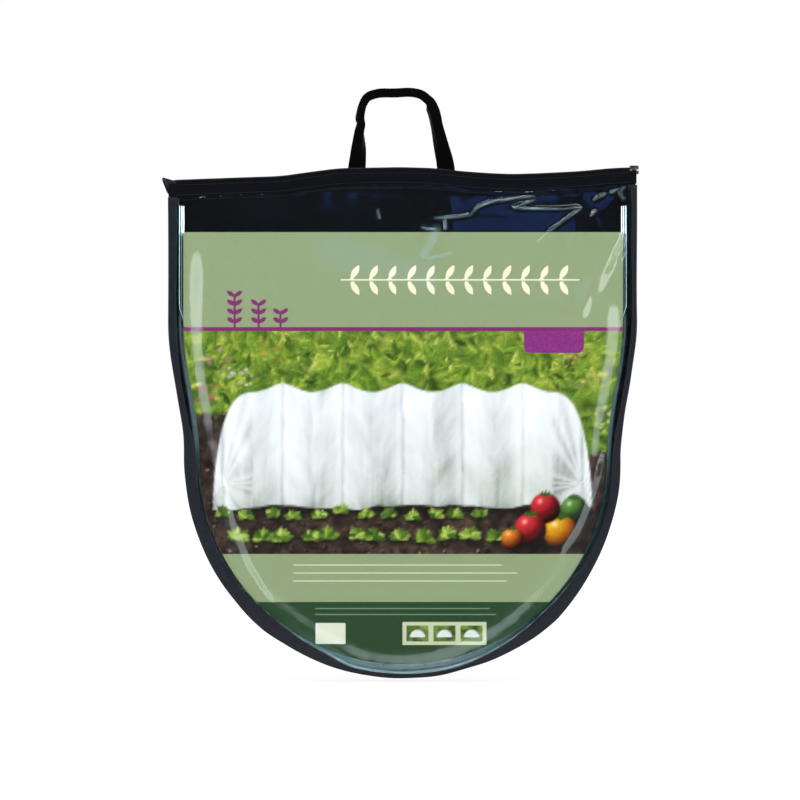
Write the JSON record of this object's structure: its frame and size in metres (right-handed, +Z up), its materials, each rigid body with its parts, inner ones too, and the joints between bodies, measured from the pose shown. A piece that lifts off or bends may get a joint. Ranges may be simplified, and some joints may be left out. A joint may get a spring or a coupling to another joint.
{
  "type": "packed row cover tunnel",
  "caption": "Fleece row cover tunnel on steel wire hoops, folded flat and packed upright in a D-shaped zip carry bag with a clear front, a printed card and a webbing handle.",
  "frame": {"origin": "middle of the bag's width on the underside of the handle's folded grip, in the webbing's middle plane, where a hook or a hand carries it", "axes": "+Z up, from the bag's rounded bottom to the handle; -Y is the clear front with the card, +Y the black back; +X to the right seen from the front"},
  "size_m": [0.4789, 0.0656, 0.5929],
  "materials": {
    "clear_film": "clear glossy vinyl film",
    "black_cloth": "coated woven polyester",
    "black_binding": "folded binding tape",
    "zip_tape": "woven zip tape",
    "zip_coil": "nylon coil",
    "slider_metal": "black enamelled die-cast zinc",
    "black_webbing": "woven polypropylene webbing",
    "printed_card": "printed and varnished card",
    "galvanised_wire": "galvanised, satin",
    "white_fleece": "spun-bonded fleece",
    "black_drawcord": "braided cord"
  },
  "bodies": {
    "bag": {"front_film": "clear_film", "back_panel": "black_cloth", "gusset": "black_cloth", "front_binding": "black_binding", "back_binding": "black_binding", "front_hem": "black_binding", "back_hem": "black_binding", "front_zip_tape": "zip_tape", "back_zip_tape": "zip_tape", "front_zip_coil": "zip_coil", "back_zip_coil": "zip_coil", "left_end_tab": "black_binding", "right_end_tab": "black_binding", "zip_slider": "slider_metal", "left_handle_foot": "black_webbing", "right_handle_foot": "black_webbing"},
    "handle": {"handle_loop": "black_webbing"},
    "zip_pull": {"zip_pull": "slider_metal"},
    "card": {"insert_card": "printed_card"},
    "tunnel": {"hoop_1": "galvanised_wire", "hoop_2": "galvanised_wire", "hoop_3": "galvanised_wire", "hoop_4": "galvanised_wire", "hoop_5": "galvanised_wire", "hoop_6": "galvanised_wire", "hoop_7": "galvanised_wire", "fleece_cover": "white_fleece", "front_end_skirt": "white_fleece", "front_drawcord": "black_drawcord", "front_drawcord_knot": "black_drawcord", "front_left_cord_end": "black_drawcord", "front_right_cord_end": "black_drawcord", "back_end_skirt": "white_fleece", "back_drawcord": "black_drawcord", "back_drawcord_knot": "black_drawcord", "back_left_cord_end": "black_drawcord", "back_right_cord_end": "black_drawcord"}
  },
  "joints": [
    {"name": "handle_fold", "type": "hinge", "parent": "bag", "child": "handle", "pos_m": [0, 0.0011, -0.07588], "axis": [-1, 0, 0], "range_deg": [0, 150]},
    {"name": "zip_pull_swing", "type": "hinge", "parent": "bag", "child": "zip_pull", "pos_m": [0.2316, -0.0245, -0.07404], "axis": [1, 0, 0], "range_deg": [0, 150]},
    {"name": "card_lift", "type": "slide", "parent": "bag", "child": "card", "axis": [0, 0, 1], "range_m": [0, 0.45]},
    {"name": "tunnel_lift", "type": "slide", "parent": "bag", "child": "tunnel", "axis": [0, 0, 1], "range_m": [0, 0.45]}
  ]
}
